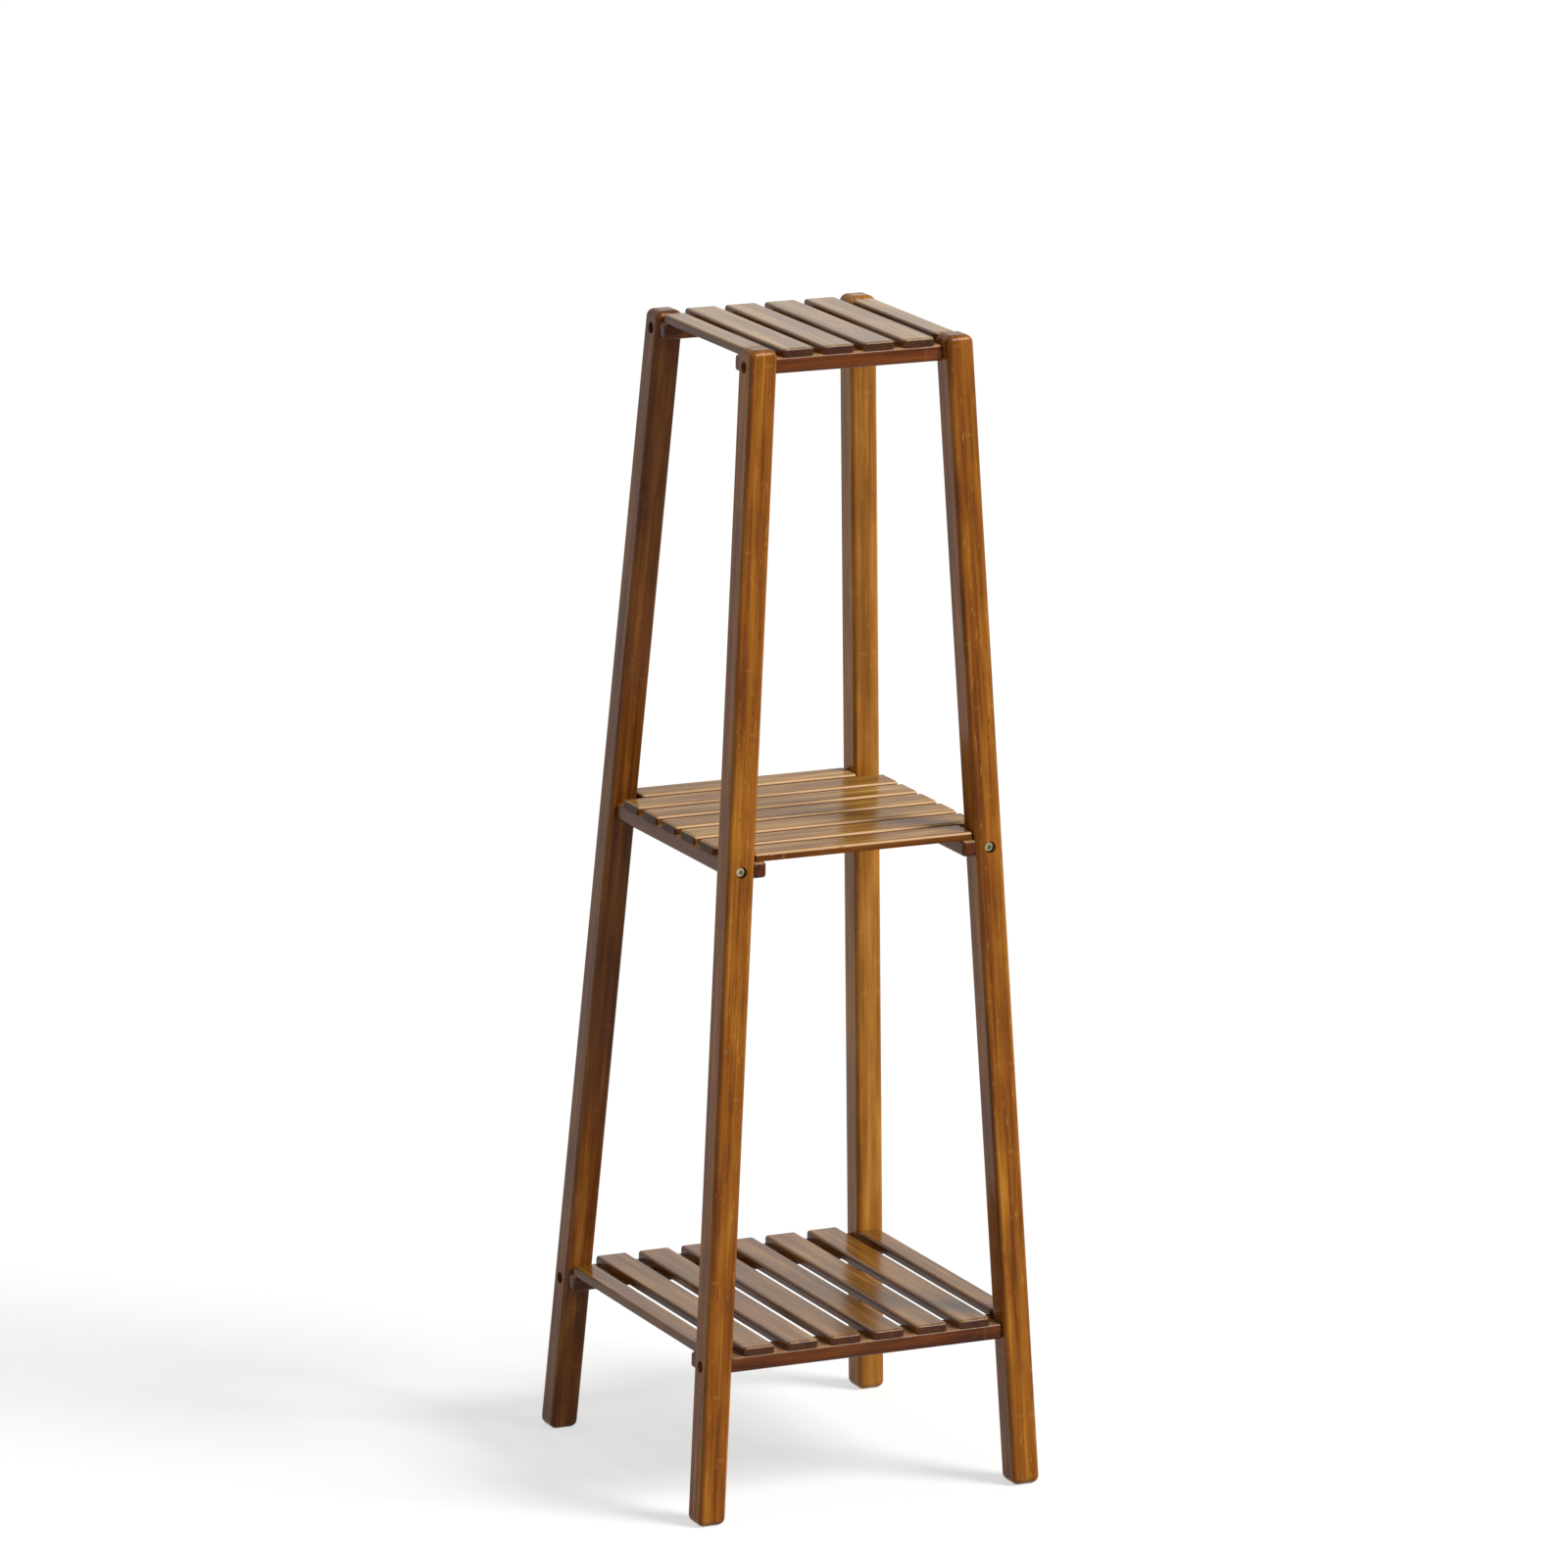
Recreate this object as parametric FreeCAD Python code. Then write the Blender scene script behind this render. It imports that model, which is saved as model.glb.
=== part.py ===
import FreeCAD
import Part
import math
import os

# Three-tier plant stand in stained laminated bamboo, in millimetres with +Z up.
# The origin is on the floor at the middle of the stand. X runs left to right along the
# front, and Y runs from the front to the back.
# Four legs splay outwards in X and in Y. Each shelf is a pair of notched battens under a
# row of slats. A batten's corners are notched round the legs: its tongue butts against one
# inner face of the leg and takes a bolt, and its lap runs past the other inner face and
# carries the short slat that lies between the legs.

# Legs
overall_height = 1000.0
top_width = 207.0             # across the legs' outer faces, at their tops
foot_width = 325.0            # across the legs' outer faces, on the floor
leg_width = 25.0              # side of the leg's level section
leg_edge_radius = 4.0         # along the leg
leg_end_radius = 6.5          # round its top and its foot

# Shelf levels, to the tops of the slats
top_shelf_drop = 1.3          # below the tops of the legs
middle_shelf_level = 575.0
bottom_shelf_level = 151.0

# Battens
batten_height = 14.0
batten_edge_radius = 3.0
tongue_end_radius = 2.6
top_tongue_width = 16.5
middle_tongue_width = 20.0
bottom_tongue_width = 20.0
lap_width = 12.0
lap_setback = 2.5             # from the leg's outer face back to the lap's end
lap_clearance = 0.2           # between the lap and the leg

# Slats
slat_thickness = 7.0
slat_corner_radius = 3.0      # its four upright corners
slat_edge_radius = 2.6        # round its top only
short_slat_setback = 2.3      # from the lap's end back to the short slat's outer edge
short_slat_clearance = 0.8    # between the short slat's ends and the legs
top_slat_count = 4            # full slats, which share the width between the legs
middle_slat_count = 5
bottom_slat_count = 6
top_slat_gap = 7.75
middle_slat_gap = 7.5
bottom_slat_gap = 11.1
top_slat_margin = 7.5         # from the outermost full slat to the legs
middle_slat_margin = 14.0
bottom_slat_margin = 11.3

# Socket-head bolts and the threaded inserts that they pull into
bolt_diameter = 5.0
bolt_clearance = 0.25         # round the bolt in the leg
head_overhang = 1.75          # from the shank out to the head's side
head_height = 5.0
head_edge_radius = 0.6
head_clearance = 0.75         # round the head in its counterbore
head_sink = 3.0               # from the leg's outer face down to the head
socket_across_flats = 4.0
socket_depth = 2.5
insert_wall = 1.4
insert_length = 12.0
insert_clearance = 0.1        # round the insert, and round the bolt inside it
insert_cover = 1.1            # wood left between the insert's hole and the tongue's outer face
insert_recess = 0.1           # from the tongue's end in to the insert
insert_hole_spare = 2.0       # depth of the hole past the insert

# Brad pins that hold the slats, driven up through the battens
pin_diameter = 1.8
pin_head_overhang = 0.9       # from the pin's shank out to its head's side
pin_head_height = 1.0
pin_clearance = 0.1           # round the pin and past its tip
pin_cover = 2.5               # wood left above the pin's tip in the slat

leg_lean = (foot_width - top_width) / 2 / overall_height
head_radius = bolt_diameter / 2 + head_overhang
insert_bore_radius = bolt_diameter / 2 + insert_clearance
insert_radius = insert_bore_radius + insert_wall
insert_hole_radius = insert_radius + insert_clearance
pin_radius = pin_diameter / 2
pin_head_radius = pin_radius + pin_head_overhang
pin_length = batten_height + slat_thickness - pin_cover
sides = (-1, 1)
up = FreeCAD.Vector(0, 0, 1)
along_x = FreeCAD.Vector(1, 0, 0)


def leg_outer(z):
    return foot_width / 2 - leg_lean * z


def leg_inner(z):
    return leg_outer(z) - leg_width


class Shelf:
    """One tier, laid out with its battens along X, then turned about Z to its place."""

    def __init__(self, name, level, tongue_width, slat_layout, turn, batten_names):
        self.name = name
        self.level = level
        self.turn = turn
        self.batten_names = batten_names
        self.batten_top = level - slat_thickness
        self.batten_bottom = self.batten_top - batten_height
        self.bolt_level = (self.batten_top + self.batten_bottom) / 2
        self.seat = leg_inner(self.bolt_level)
        self.reach = self.seat + tongue_width
        self.lap_end = leg_outer(self.bolt_level) - lap_setback
        self.bolt_line = self.seat + min(leg_width / 2, tongue_width - insert_cover - insert_hole_radius)
        self.insert_end = leg_inner(self.bolt_level + insert_radius) - insert_recess
        self.slats = []
        self.pin_feet = []
        self.lay_out_slats(*slat_layout)

    def lay_out_slats(self, full_count, gap, margin):
        span = 2 * (leg_inner(self.level) - margin)
        full_width = (span - (full_count - 1) * gap) / full_count
        short_inner_edge = span / 2 + gap
        short_outer_edge = self.lap_end - short_slat_setback
        short_width = short_outer_edge - short_inner_edge
        short_middle = (short_outer_edge + short_inner_edge) / 2
        full_length = 2 * self.reach
        short_length = 2 * (leg_inner(self.level) - short_slat_clearance)
        full_pin_line = (self.reach + self.seat - lap_width) / 2
        short_pin_line = self.seat - lap_width / 2
        self.add_slat(-short_middle, short_width, short_length, short_pin_line)
        for index in range(full_count):
            middle = (index - (full_count - 1) / 2) * (full_width + gap)
            self.add_slat(middle, full_width, full_length, full_pin_line)
        self.add_slat(short_middle, short_width, short_length, short_pin_line)

    def add_slat(self, middle, width, length, pin_line):
        self.slats.append((middle, width, length))
        for side in sides:
            self.pin_feet.append(FreeCAD.Vector(middle, side * pin_line, self.batten_bottom))

    def place(self, shape):
        turned = shape.copy()
        turned.rotate(FreeCAD.Vector(0, 0, 0), up, self.turn)
        return turned


def fillet_radius(wanted, wall):
    """The wanted radius, or a little under half of a wall that is rounded from both sides."""
    most = wall * 0.45
    return min(wanted, most)


def block(x_range, y_range, z_range):
    size = [high - low for low, high in (x_range, y_range, z_range)]
    return Part.makeBox(*size, FreeCAD.Vector(x_range[0], y_range[0], z_range[0]))


def leg_block(side_x, side_y, notch_room=0.0):
    """Sharp-edged leg: a level square section swept along the leg's double lean.

    notch_room widens it towards the middle of the stand in Y, for cutting the notches.
    """
    x_inner = side_x * leg_inner(0)
    x_outer = side_x * leg_outer(0)
    y_inner = side_y * (leg_inner(0) - notch_room)
    y_outer = side_y * leg_outer(0)
    corners = [(x_inner, y_inner), (x_outer, y_inner), (x_outer, y_outer), (x_inner, y_outer)]
    points = [FreeCAD.Vector(x, y, 0) for x, y in corners]
    section = Part.Face(Part.makePolygon(points + points[:1]))
    rise = FreeCAD.Vector(-side_x * leg_lean, -side_y * leg_lean, 1) * overall_height
    return section.extrude(rise)


def bolt_holes(shelf):
    """Cutters for the counterbored bolt holes that one shelf needs in the four legs."""
    cutters = []
    head_floor = leg_outer(shelf.bolt_level) - head_sink - head_height
    for side_x in sides:
        for side_y in sides:
            direction = along_x * side_x
            axis = FreeCAD.Vector(0, side_y * shelf.bolt_line, shelf.bolt_level)
            inner_end = axis + direction * shelf.insert_end
            shank = Part.makeCylinder(bolt_diameter / 2 + bolt_clearance, leg_width, inner_end, direction)
            floor = axis + direction * head_floor
            counterbore = Part.makeCylinder(head_radius + head_clearance, leg_width, floor, direction)
            cutters.append(shelf.place(shank.fuse(counterbore)))
    return cutters


def leg(side_x, side_y, cutters):
    solid = leg_block(side_x, side_y)
    long_edges = [edge for edge in solid.Edges if edge.Length >= overall_height]
    solid = solid.makeFillet(fillet_radius(leg_edge_radius, leg_width), long_edges)
    end_edges = [edge for edge in solid.Edges if edge.BoundBox.ZLength < leg_edge_radius]
    solid = solid.makeFillet(fillet_radius(leg_end_radius, leg_width), end_edges)
    return solid.cut(cutters)


def is_seat_edge(edge, shelf, side):
    """True for the batten's top outer edge, which stays sharp under the slats' flush ends."""
    corners = [(side * vertex.Y, vertex.Z) for vertex in edge.Vertexes]
    return all(round(y - shelf.reach, 3) == 0 and round(z - shelf.batten_top, 3) == 0 for y, z in corners)


def is_tongue_end_edge(edge, shelf, side):
    """True for the edges round a tongue's end, apart from the notch's inner corner."""
    on_end = all(round(abs(vertex.X) - leg_inner(vertex.Z), 3) == 0 for vertex in edge.Vertexes)
    return on_end and side * edge.CenterOfMass.y > shelf.seat


def pin_holes(shelf):
    cutters = []
    for foot in shelf.pin_feet:
        shank = Part.makeCylinder(pin_radius + pin_clearance, pin_length + pin_clearance, foot)
        head = Part.makeCylinder(pin_head_radius + pin_clearance, pin_head_height, foot)
        cutters.append(shank.fuse(head))
    return cutters


def batten(shelf, side):
    y_range = sorted((side * (shelf.seat - lap_width), side * shelf.reach))
    solid = block((-shelf.lap_end, shelf.lap_end), y_range, (shelf.batten_bottom, shelf.batten_top))
    edge_radius = fillet_radius(batten_edge_radius, min(batten_height, lap_width))
    rounded_edges = [edge for edge in solid.Edges if not is_seat_edge(edge, shelf, side)]
    solid = solid.makeFillet(edge_radius, rounded_edges)
    solid = solid.cut([leg_block(side_x, side, lap_clearance) for side_x in sides])
    tongue_ends = [edge for edge in solid.Edges if is_tongue_end_edge(edge, shelf, side)]
    solid = solid.makeFillet(fillet_radius(tongue_end_radius, 2 * edge_radius), tongue_ends)
    sockets = []
    for side_x in sides:
        mouth = FreeCAD.Vector(side_x * leg_outer(0), side * shelf.bolt_line, shelf.bolt_level)
        depth = leg_outer(0) - shelf.insert_end + insert_length + insert_hole_spare
        sockets.append(Part.makeCylinder(insert_hole_radius, depth, mouth, along_x * -side_x))
    return solid.cut(sockets + pin_holes(shelf))


def slat(shelf, middle, width, length):
    x_range = (middle - width / 2, middle + width / 2)
    y_range = (-length / 2, length / 2)
    solid = block(x_range, y_range, (shelf.batten_top, shelf.level))
    upright_edges = [edge for edge in solid.Edges if edge.BoundBox.ZLength > slat_thickness / 2]
    corner_radius = fillet_radius(slat_corner_radius, width)
    solid = solid.makeFillet(corner_radius, upright_edges)
    top_edges = [edge for edge in solid.Edges if edge.BoundBox.ZMin > shelf.level - slat_thickness / 2]
    solid = solid.makeFillet(fillet_radius(slat_edge_radius, 2 * min(corner_radius, slat_thickness)), top_edges)
    return solid.cut(pin_holes(shelf))


def bolt(shelf, side_x, side_y):
    """Socket-head bolt, drawn up its own axis and then laid along X."""
    head_top = leg_outer(shelf.bolt_level) - head_sink
    tip = shelf.insert_end - insert_length
    shank_length = head_top - head_height - tip
    shank = Part.makeCylinder(bolt_diameter / 2, shank_length)
    head = Part.makeCylinder(head_radius, head_height, FreeCAD.Vector(0, 0, shank_length))
    rim = [edge for edge in head.Edges if edge.CenterOfMass.z > shank_length + head_height / 2]
    head = head.makeFillet(head_edge_radius, rim)
    corner_radius = socket_across_flats / math.sqrt(3)
    hexagon = []
    for index in range(7):
        angle = math.radians(60 * index)
        x = corner_radius * math.cos(angle)
        y = corner_radius * math.sin(angle)
        hexagon.append(FreeCAD.Vector(x, y, shank_length + head_height - socket_depth))
    socket = Part.Face(Part.makePolygon(hexagon)).extrude(up * head_height)
    solid = shank.fuse(head).removeSplitter().cut(socket)
    solid.rotate(FreeCAD.Vector(0, 0, 0), FreeCAD.Vector(0, 1, 0), 90 * side_x)
    solid.translate(FreeCAD.Vector(side_x * tip, side_y * shelf.bolt_line, shelf.bolt_level))
    return shelf.place(solid)


def insert(shelf, side_x, side_y):
    outer_end = FreeCAD.Vector(side_x * shelf.insert_end, side_y * shelf.bolt_line, shelf.bolt_level)
    inward = along_x * -side_x
    sleeve = Part.makeCylinder(insert_radius, insert_length, outer_end, inward)
    bore = Part.makeCylinder(insert_bore_radius, insert_length, outer_end, inward)
    return shelf.place(sleeve.cut(bore))


def pins(shelf):
    solids = []
    for foot in shelf.pin_feet:
        shank = Part.makeCylinder(pin_radius, pin_length, foot)
        head = Part.makeCylinder(pin_head_radius, pin_head_height, foot)
        solids.append(shelf.place(shank.fuse(head).removeSplitter()))
    return solids


def make_parts():
    shelves = [
        Shelf("top", overall_height - top_shelf_drop, top_tongue_width,
              (top_slat_count, top_slat_gap, top_slat_margin), 0, ("front", "rear")),
        Shelf("middle", middle_shelf_level, middle_tongue_width,
              (middle_slat_count, middle_slat_gap, middle_slat_margin), -90, ("left", "right")),
        Shelf("bottom", bottom_shelf_level, bottom_tongue_width,
              (bottom_slat_count, bottom_slat_gap, bottom_slat_margin), 0, ("front", "rear")),
    ]
    parts = {}
    cutters = []
    for shelf in shelves:
        cutters += bolt_holes(shelf)
    for side_y, depth_name in zip(sides, ("front", "rear")):
        for side_x, width_name in zip(sides, ("left", "right")):
            parts[depth_name + "_" + width_name + "_leg"] = leg(side_x, side_y, cutters)
    for shelf in shelves:
        for side, batten_name in zip(sides, shelf.batten_names):
            parts[shelf.name + "_" + batten_name + "_batten"] = shelf.place(batten(shelf, side))
        for number, slat_place in enumerate(shelf.slats, 1):
            parts[shelf.name + "_slat_" + str(number)] = shelf.place(slat(shelf, *slat_place))
        corners = [(side_x, side_y) for side_x in sides for side_y in sides]
        parts[shelf.name + "_bolts"] = Part.makeCompound([bolt(shelf, *corner) for corner in corners])
        parts[shelf.name + "_inserts"] = Part.makeCompound([insert(shelf, *corner) for corner in corners])
        parts[shelf.name + "_slat_pins"] = Part.makeCompound(pins(shelf))
    return parts


os.makedirs("parts", exist_ok=True)
for name, shape in make_parts().items():
    shape.exportStep("parts/" + name + ".step")
    state = "valid" if shape.isValid() else "NOT VALID"
    print(name, len(shape.Solids), "solids", state, round(shape.Volume), "cubic mm")
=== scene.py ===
import math

import bpy
from mathutils import Matrix, Vector


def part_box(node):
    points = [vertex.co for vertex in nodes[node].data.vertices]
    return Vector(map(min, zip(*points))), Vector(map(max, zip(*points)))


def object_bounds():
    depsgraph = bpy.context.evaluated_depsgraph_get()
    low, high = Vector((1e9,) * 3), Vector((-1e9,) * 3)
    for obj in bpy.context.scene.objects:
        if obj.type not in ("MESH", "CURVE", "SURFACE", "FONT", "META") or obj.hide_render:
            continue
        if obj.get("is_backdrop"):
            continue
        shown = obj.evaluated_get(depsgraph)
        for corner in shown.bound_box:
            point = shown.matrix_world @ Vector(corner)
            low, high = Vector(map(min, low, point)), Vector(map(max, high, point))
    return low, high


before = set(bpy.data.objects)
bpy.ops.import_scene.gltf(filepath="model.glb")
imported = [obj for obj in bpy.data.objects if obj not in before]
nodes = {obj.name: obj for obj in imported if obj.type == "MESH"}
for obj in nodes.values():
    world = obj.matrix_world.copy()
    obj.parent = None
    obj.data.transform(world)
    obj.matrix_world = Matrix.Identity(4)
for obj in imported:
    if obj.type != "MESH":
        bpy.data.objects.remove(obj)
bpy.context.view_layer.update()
print("frame loaded:", len(nodes), "nodes")
mmPerMetre = 1000


def hexColour(code):             # sRGB to linear
    channels = [int(code[place:place + 2], 16) / 255 for place in (1, 3, 5)]
    linear = [value / 12.92 if value <= 0.04045 else ((value + 0.055) / 1.055) ** 2.4 for value in channels]
    return (*linear, 1.0)


def addNode(tree, kind, settings, inputs):
    node = tree.nodes.new(kind)
    for name, value in settings.items():
        if name == "stops":      # places and colours on a ramp
            elements = node.color_ramp.elements
            while len(elements) < len(value):
                elements.new(0.5)        # put in its place below
            for element, (position, code) in zip(elements, value):
                element.position = position
                element.color = hexColour(code)
        else:
            setattr(node, name, value)
    for socket, value in inputs.items():
        if isinstance(value, bpy.types.Node):
            value = value.outputs[0]
        if isinstance(value, bpy.types.NodeSocket):
            tree.links.new(value, node.inputs[socket])
        else:
            node.inputs[socket].default_value = value
    return node


def newMaterial(name):
    material = bpy.data.materials.new(name)
    material.use_nodes = True
    material.node_tree.nodes.clear()
    return material, material.node_tree


# Laminated bamboo under an amber stain and a satin lacquer: soft bands of tone run along each piece, fine
# fibres streak through them, short flecks and a few culm nodes mark the strips, and the lacquer greys at
# a glancing angle. Each IOR is below a lacquer's usual 1.5, which would grey the stain in a white studio.
bambooLook = {
    "patterns": {                # width and length along the grain in mm, detail of the noise
        "band": (5.0, 190.0, 1.0),       # bands of stain
        "blotch": (16.0, 75.0, 2.0),     # where the stain took more or less
        "fibre": (1.1, 70.0, 3.0),       # drawn coarser than the real 0.3 so that it shows
        "fleck": (1.7, 9.0, 0.0),
    },
    "patternRoughness": 0.55,
    "toneShift": -0.55,          # brings the sum of the shares on to the ramps
    "toneShares": {"strip": 0.14, "band": 0.75, "blotch": 0.65, "fibre": 0.55},
    "toneStops": (0.28, 0.46, 0.6, 0.78),
    "stripWidth": 6.2,           # mm, glued strips
    "glueLine": 0.5,             # mm, drawn wider than the real 0.1 so that it shows
    "glueShare": 0.12,
    "nodeSpacing": 310.0,        # mm between culm nodes along one strip
    "nodeHeight": 2.5,           # mm, half of a node's band
    "nodeShift": 7.3,            # spacings, how far the strips' nodes fall out of step
    "nodeShare": 0.18,
    "paleFlecks": (0.74, 0.84),  # range of the fleck noise
    "paleFleckShare": 0.4,
    "darkFlecks": (0.18, 0.27),
    "darkFleckShare": 0.35,
    "flatTop": (0.3, 0.8),       # range of how far a face looks upwards
    "roundedEdge": (0.1, 0.45),
    "endGrain": (0.6, 0.97),     # range of how far a face looks along the grain
    "roughness": 0.22,
    "roughnessSpread": 0.02,
    "fibreRange": (0.3, 0.7),    # where most of the fibre noise lies
    "bumpStrength": 0.03,
    "bumpHeight": 0.2,           # mm
}


def bamboo(name, along, slope, tones):
    look = {**bambooLook, **tones}
    material, tree = newMaterial(name)
    place = addNode(tree, "ShaderNodeTexCoord", {}, {})
    axes = addNode(tree, "ShaderNodeSeparateXYZ", {}, {0: place.outputs["Object"]})
    length = axes.outputs[along]
    sideways = []                # the two directions across the piece, with its lean taken out
    for axis, lean in zip([axis for axis in "XYZ" if axis != along], slope):
        sideways.append(addNode(tree, "ShaderNodeMath", {"operation": "MULTIPLY_ADD"},
                                {0: length, 1: -lean, 2: axes.outputs[axis]}))
    across, depth = sideways
    grain = addNode(tree, "ShaderNodeCombineXYZ", {}, {0: across, 1: depth, 2: length})

    layers = {}
    for pattern, (width, reach, detail) in look["patterns"].items():
        scale = (mmPerMetre / width, mmPerMetre / width, mmPerMetre / reach)
        stretched = addNode(tree, "ShaderNodeMapping", {}, {"Vector": grain, "Scale": scale})
        layers[pattern] = addNode(tree, "ShaderNodeTexNoise", {},
                                  {"Vector": stretched, "Scale": 1.0, "Detail": detail,
                                   "Roughness": look["patternRoughness"]})
    stripPlace = addNode(tree, "ShaderNodeMath", {"operation": "DIVIDE"},
                         {0: across, 1: look["stripWidth"] / mmPerMetre})
    strip = addNode(tree, "ShaderNodeMath", {"operation": "FLOOR"}, {0: stripPlace})
    layers["strip"] = addNode(tree, "ShaderNodeTexWhiteNoise", {"noise_dimensions": "1D"}, {"W": strip})
    tone = look["toneShift"]
    for pattern, share in look["toneShares"].items():
        tone = addNode(tree, "ShaderNodeMath", {"operation": "MULTIPLY_ADD"},
                       {0: layers[pattern], 1: share, 2: tone})
    stains = {}
    for finish in ("stained", "paleTop"):
        if finish in look:
            stops = list(zip(look["toneStops"], look[finish]))
            stains[finish] = addNode(tree, "ShaderNodeValToRGB", {"stops": stops}, {0: tone})

    row = addNode(tree, "ShaderNodeMath", {"operation": "DIVIDE"},
                  {0: length, 1: look["nodeSpacing"] / mmPerMetre})
    row = addNode(tree, "ShaderNodeMath", {"operation": "MULTIPLY_ADD"},
                  {0: layers["strip"], 1: look["nodeShift"], 2: row})
    # 0 on a culm node or a glue line, 0.5 halfway to the next one
    culmNode = addNode(tree, "ShaderNodeMath", {"operation": "PINGPONG"}, {0: row, 1: 0.5})
    glueLine = addNode(tree, "ShaderNodeMath", {"operation": "PINGPONG"}, {0: stripPlace, 1: 0.5})
    surface = addNode(tree, "ShaderNodeNewGeometry", {}, {})
    facing = addNode(tree, "ShaderNodeSeparateXYZ", {}, {0: surface.outputs["Normal"]})
    upward = facing.outputs["Z"]
    endways = addNode(tree, "ShaderNodeMath", {"operation": "ABSOLUTE"}, {0: facing.outputs[along]})
    culmEdge = look["nodeHeight"] / look["nodeSpacing"]
    glueEdge = look["glueLine"] / look["stripWidth"]
    pale, dark = hexColour(look["pale"]), hexColour(look["dark"])
    overlays = []                # a pattern, its range, the colour's share at each end of it, the colour
    # Painted highlight: rounded edges turn paler where the lacquer would shine
    if "paintedHighlight" in look:
        paintedHighlight = hexColour(look["paintedHighlight"])
        overlays.append((upward, look["roundedEdge"], (0.0, look["paintedHighlightShare"]), paintedHighlight))
    if "paleTop" in look:
        overlays.append((upward, look["flatTop"], (0.0, 1.0), stains["paleTop"]))
    overlays += [
        (layers["fleck"], look["paleFlecks"], (0.0, look["paleFleckShare"]), pale),
        (layers["fleck"], look["darkFlecks"], (look["darkFleckShare"], 0.0), dark),
        (culmNode, (0.0, culmEdge), (look["nodeShare"], 0.0), pale),
        (glueLine, (0.0, glueEdge), (look["glueShare"], 0.0), dark),
        (endways, look["endGrain"], (0.0, look["endShare"]), dark),
    ]
    colour = stains["stained"]
    for pattern, (low, high), (lowShare, highShare), tint in overlays:
        share = addNode(tree, "ShaderNodeMapRange", {"interpolation_type": "SMOOTHSTEP"},
                        {"Value": pattern, "From Min": low, "From Max": high,
                         "To Min": lowShare, "To Max": highShare})
        mixed = addNode(tree, "ShaderNodeMix", {"data_type": "RGBA"}, {0: share, 6: colour, 7: tint})
        colour = mixed.outputs[2]        # Mix has its colours at inputs 6 and 7 and at output 2

    low, high = look["fibreRange"]
    gloss = addNode(tree, "ShaderNodeMapRange", {},
                    {"Value": layers["fibre"], "From Min": low, "From Max": high,
                     "To Min": look["roughness"] - look["roughnessSpread"],
                     "To Max": look["roughness"] + look["roughnessSpread"]})
    bump = addNode(tree, "ShaderNodeBump", {},
                   {"Strength": look["bumpStrength"], "Distance": look["bumpHeight"] / mmPerMetre,
                    "Height": layers["fibre"]})
    shader = addNode(tree, "ShaderNodeBsdfPrincipled", {},
                     {"Base Color": colour, "Roughness": gloss, "Normal": bump, "IOR": look["ior"]})
    addNode(tree, "ShaderNodeOutputMaterial", {}, {0: shader})
    return material


# Zinc-plated steel: a bright, slightly uneven grey metal.
steelLook = {
    "shades": [(0.3, "#88866f"), (0.7, "#bdb99d")],
    "blotchSize": 2.0,           # mm, uneven plating
    "blotchDetail": 3.0,
    "roughness": (0.25, 0.45),
}


def platedSteel():
    material, tree = newMaterial("zincPlatedSteel")
    place = addNode(tree, "ShaderNodeTexCoord", {}, {})
    blotches = addNode(tree, "ShaderNodeTexNoise", {},
                       {"Vector": place.outputs["Object"],
                        "Scale": mmPerMetre / steelLook["blotchSize"],
                        "Detail": steelLook["blotchDetail"]})
    shades = addNode(tree, "ShaderNodeValToRGB", {"stops": steelLook["shades"]}, {0: blotches})
    smooth, rough = steelLook["roughness"]
    gloss = addNode(tree, "ShaderNodeMapRange", {}, {"Value": blotches, "To Min": smooth, "To Max": rough})
    shader = addNode(tree, "ShaderNodeBsdfPrincipled", {},
                     {"Base Color": shades, "Metallic": 1.0, "Roughness": gloss})
    addNode(tree, "ShaderNodeOutputMaterial", {}, {0: shader})
    return material


# Turned brass: a warm yellow metal with fine tool marks.
brassLook = {
    "shades": [(0.3, "#a8873f"), (0.7, "#cdb069")],
    "markSize": 0.8,             # mm, tool marks
    "markDetail": 2.0,
    "roughness": 0.35,
}


def turnedBrass():
    material, tree = newMaterial("turnedBrass")
    place = addNode(tree, "ShaderNodeTexCoord", {}, {})
    marks = addNode(tree, "ShaderNodeTexNoise", {},
                    {"Vector": place.outputs["Object"],
                     "Scale": mmPerMetre / brassLook["markSize"],
                     "Detail": brassLook["markDetail"]})
    shades = addNode(tree, "ShaderNodeValToRGB", {"stops": brassLook["shades"]}, {0: marks})
    shader = addNode(tree, "ShaderNodeBsdfPrincipled", {},
                     {"Base Color": shades, "Metallic": 1.0, "Roughness": brassLook["roughness"]})
    addNode(tree, "ShaderNodeOutputMaterial", {}, {0: shader})
    return material


def dress(name, material):
    nodes[name].data.materials.clear()
    nodes[name].data.materials.append(material)


# Stains of the legs, from their dark bands to their pale ones: the front pair share one stain, the rear
# pair carry painted shade and painted light
amberTones = {
    "stained": ("#6d380a", "#8b4f10", "#9b5e16", "#b47625"),
    "pale": "#c08a40", "dark": "#45200a", "endShare": 0.5, "ior": 1.23,
}
# Painted shade: the rear left leg's tones are darker for the shade that falls on it
paintedShadeAmberTones = {
    "stained": ("#5a2f0f", "#734014", "#834e1b", "#9a6328"),
    "pale": "#a5702f", "dark": "#3a1a08", "endShare": 0.5, "ior": 1.23,
}
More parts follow.
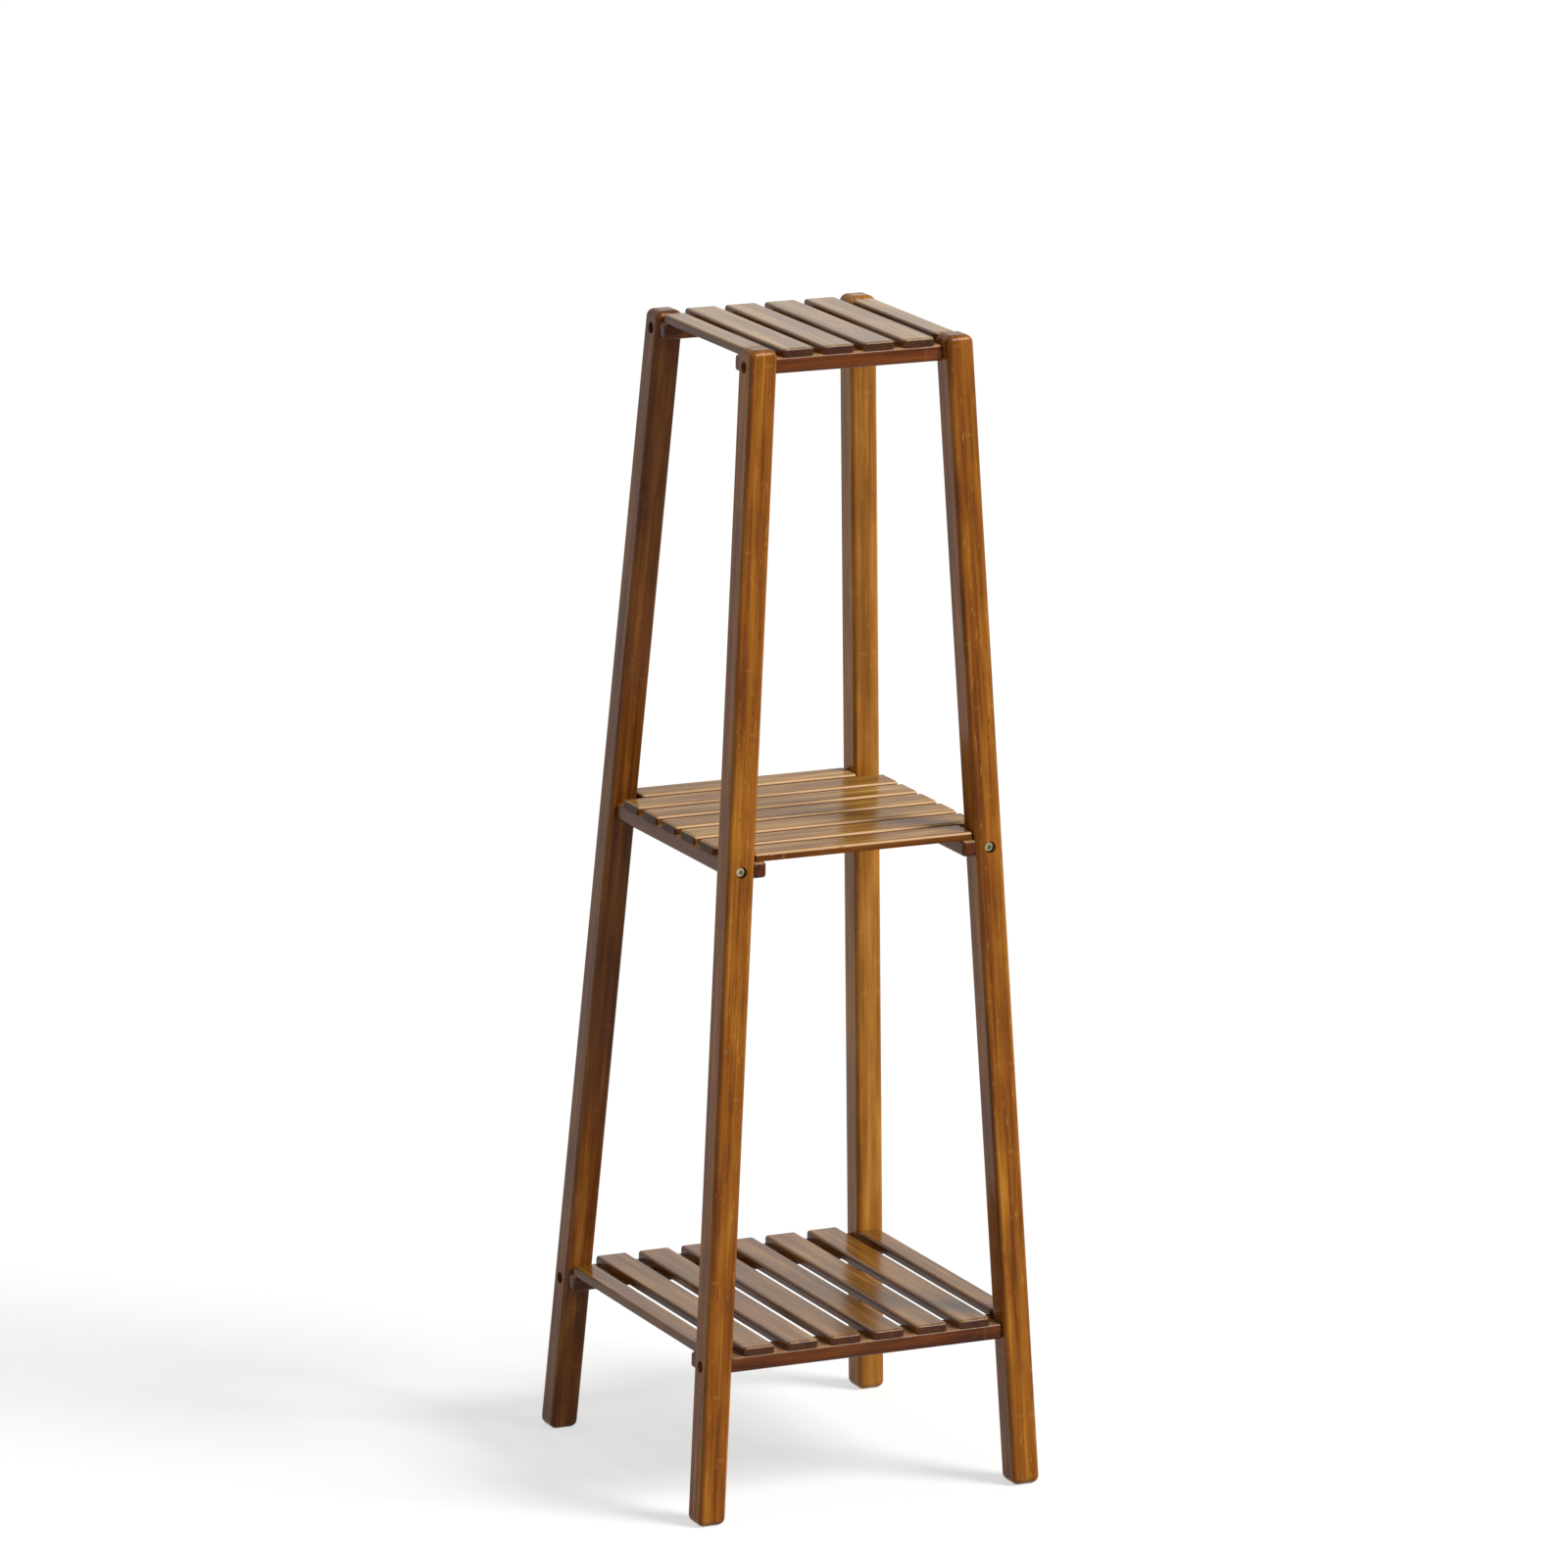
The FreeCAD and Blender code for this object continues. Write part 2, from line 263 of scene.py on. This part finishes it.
# Painted light: the rear right leg's tones are paler for the extra light that falls on it
paintedLightAmberTones = {
    "stained": ("#87551a", "#a16622", "#b0742b", "#c58b3d"),
    "pale": "#cf9d50", "dark": "#55300f", "endShare": 0.5, "ior": 1.23,
}
legSetup = {
    "lean": 0.059,               # sideways in X and in Y for each unit of height
    "tones": {
        "front_left_leg": amberTones,
        "front_right_leg": amberTones,
        "rear_left_leg": paintedShadeAmberTones,
        "rear_right_leg": paintedLightAmberTones,
    },
}
for name, tones in legSetup["tones"].items():
    low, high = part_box(name)
    sideX = math.copysign(1, low.x + high.x)
    sideY = math.copysign(1, low.y + high.y)
    slope = (-sideX * legSetup["lean"], -sideY * legSetup["lean"])
    dress(name, bamboo("stainedBamboo_" + name, "Z", slope, tones))

# Stains of the shelves, with the flat tops paler than the sides
# The top slats' flat tops are paler and greyer: their own tone plus a painted reflection of the lacquer's
# grey sheen
topSlatTones = {
    "stained": ("#4f2a0a", "#64380d", "#734413", "#875620"),
    "paleTop": ("#785d40", "#8c6b46", "#9b784c", "#ae8a58"),
    "pale": "#a5793c", "dark": "#351608", "endShare": 0.75, "ior": 1.28,
}
middleSlatTones = {
    "stained": ("#4c260a", "#61330d", "#6f3f14", "#835120"),
    "paleTop": ("#734a1b", "#8c6128", "#9f7538", "#bc9454"),
    "pale": "#c09a5e", "dark": "#38190a", "endShare": 0.8, "ior": 1.15,
    "flatTop": (0.8, 0.95), "paintedHighlight": "#e0b98c", "paintedHighlightShare": 0.75,    # top edges painted pale, a painted highlight
}
bottomSlatTones = {
    "stained": ("#4f2a0a", "#64380d", "#734413", "#875620"),
    "paleTop": ("#623d11", "#774e1a", "#865b24", "#9c7136"),
    "pale": "#a5793c", "dark": "#351608", "endShare": 0.75, "ior": 1.3,
}
# Painted light: the battens' flat tops are paler, lighting the tops that show between the slats
battenTones = {
    "stained": ("#4a1f08", "#65300c", "#753b11", "#8b4f1d"),
    "paleTop": ("#7d522a", "#92653a", "#a07245", "#b18556"),
    "pale": "#a06a38", "dark": "#331405", "endShare": 0.4, "ior": 1.25,
}
# Painted shade: the bottom battens' tones are darker for the shade they lie in under the slats
paintedShadeBattenTones = {
    "stained": ("#431e0a", "#5a2c0e", "#683614", "#7c491f"),
    "paleTop": ("#714a27", "#855c36", "#926841", "#a37a50"),
    "pale": "#8f5f34", "dark": "#2e1306", "endShare": 0.4, "ior": 1.25,
}
noLean = (0, 0)
slatBamboo = {
    "top": bamboo("stainedBamboo_topSlats", "Y", noLean, topSlatTones),
    "middle": bamboo("stainedBamboo_middleSlats", "X", noLean, middleSlatTones),
    "bottom": bamboo("stainedBamboo_bottomSlats", "Y", noLean, bottomSlatTones),
}
battenBamboo = {
    "top": bamboo("stainedBamboo_topBattens", "X", noLean, battenTones),
    "middle": bamboo("stainedBamboo_middleBattens", "Y", noLean, battenTones),
    "bottom": bamboo("stainedBamboo_bottomBattens", "X", noLean, paintedShadeBattenTones),
}
steel = platedSteel()
brass = turnedBrass()
for name in nodes:
    shelf = name.split("_")[0]
    if "slat_pins" in name or "bolts" in name:
        dress(name, steel)
    elif "inserts" in name:
        dress(name, brass)
    elif "slat" in name:
        dress(name, slatBamboo[shelf])
    elif "batten" in name:
        dress(name, battenBamboo[shelf])
print("materials made")

# Matt pale floor, lifted to white for the camera and for reflections
white = hexColour("#ffffff")
floorSetup = {"size": 60.0, "colour": "#acacaa", "lift": 0.6}    # size in m
bpy.ops.object.select_all(action="DESELECT")
bpy.ops.mesh.primitive_plane_add(size=floorSetup["size"], location=(0, 0, 0))
floor = bpy.context.object
floor.name = "studioFloor"
floorPaint, tree = newMaterial("mattPaleFloor")
rays = addNode(tree, "ShaderNodeLightPath", {}, {})
seen = addNode(tree, "ShaderNodeMath", {"operation": "MAXIMUM"},
               {0: rays.outputs["Is Camera Ray"], 1: rays.outputs["Is Glossy Ray"]})
lift = addNode(tree, "ShaderNodeMath", {"operation": "MULTIPLY"}, {0: seen, 1: floorSetup["lift"]})
diffuse = addNode(tree, "ShaderNodeBsdfDiffuse", {}, {"Color": hexColour(floorSetup["colour"])})
glow = addNode(tree, "ShaderNodeEmission", {}, {"Color": white, "Strength": lift})
both = addNode(tree, "ShaderNodeAddShader", {}, {0: diffuse, 1: glow})
addNode(tree, "ShaderNodeOutputMaterial", {}, {0: both})
floor.data.materials.append(floorPaint)
floor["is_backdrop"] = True

# White surroundings for the camera and for reflections, a plain fill light on the surfaces
worldSetup = {"light": 0.35, "background": 1.0}
world = bpy.data.worlds.new("whiteStudio")
bpy.context.scene.world = world
world.use_nodes = True
tree = world.node_tree
tree.nodes.clear()
rays = addNode(tree, "ShaderNodeLightPath", {}, {})
seen = addNode(tree, "ShaderNodeMath", {"operation": "MAXIMUM"},
               {0: rays.outputs["Is Camera Ray"], 1: rays.outputs["Is Glossy Ray"]})
seen = addNode(tree, "ShaderNodeMath", {"operation": "MAXIMUM"},
               {0: seen, 1: rays.outputs["Is Transmission Ray"]})
strength = addNode(tree, "ShaderNodeMapRange", {},
                   {"Value": seen, "To Min": worldSetup["light"], "To Max": worldSetup["background"]})
backdrop = addNode(tree, "ShaderNodeBackground", {}, {"Color": white, "Strength": strength})
addNode(tree, "ShaderNodeOutputWorld", {}, {0: backdrop})

# Broad soft key light from the right of the camera, as even on the far floor as on the stand
keySetup = {"azimuth": 45.0, "elevation": 42.0, "spread": 25.0, "strength": 3.4}    # angles in degrees
keyData = bpy.data.lights.new("softKey", "SUN")
keyData.angle = math.radians(keySetup["spread"])
keyData.energy = keySetup["strength"]
key = bpy.data.objects.new("softKey", keyData)
key.rotation_euler = (math.radians(90 - keySetup["elevation"]), 0, math.radians(keySetup["azimuth"]))
bpy.context.scene.collection.objects.link(key)
print("studio lit")

# Camera at the photograph's viewing angle, with its small roll
cameraSetup = {
    "azimuth": -26.18,           # degrees
    "elevation": 13.82,
    "roll": 1.034,
    "distance": 8.505,           # m
    "slide": -0.01395,           # m, sideways from the stand's axis
    "height": 0.59736,           # m, aimed height
    "lens": 228.9,               # mm
    "sensor": 36.0,              # mm
}
azimuth = math.radians(cameraSetup["azimuth"])
elevation = math.radians(cameraSetup["elevation"])
roll = math.radians(cameraSetup["roll"])
back = Vector((math.sin(azimuth) * math.cos(elevation),
               -math.cos(azimuth) * math.cos(elevation),
               math.sin(elevation)))
level = Vector((math.cos(azimuth), math.sin(azimuth), 0))
upright = back.cross(level)
right = level * math.cos(roll) + upright * math.sin(roll)
up = upright * math.cos(roll) - level * math.sin(roll)
aim = level * cameraSetup["slide"] + Vector((0, 0, cameraSetup["height"]))
eye = aim + back * cameraSetup["distance"]
cameraData = bpy.data.cameras.new("photoCamera")
cameraData.sensor_width = cameraSetup["sensor"]
cameraData.lens = cameraSetup["lens"]
camera = bpy.data.objects.new("photoCamera", cameraData)
camera.matrix_world = Matrix.Translation(eye) @ Matrix((right, up, back)).transposed().to_4x4()
bpy.context.scene.collection.objects.link(camera)
bpy.context.scene.camera = camera
bpy.context.scene.view_settings.view_transform = "Standard"
print("camera set")

low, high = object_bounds()
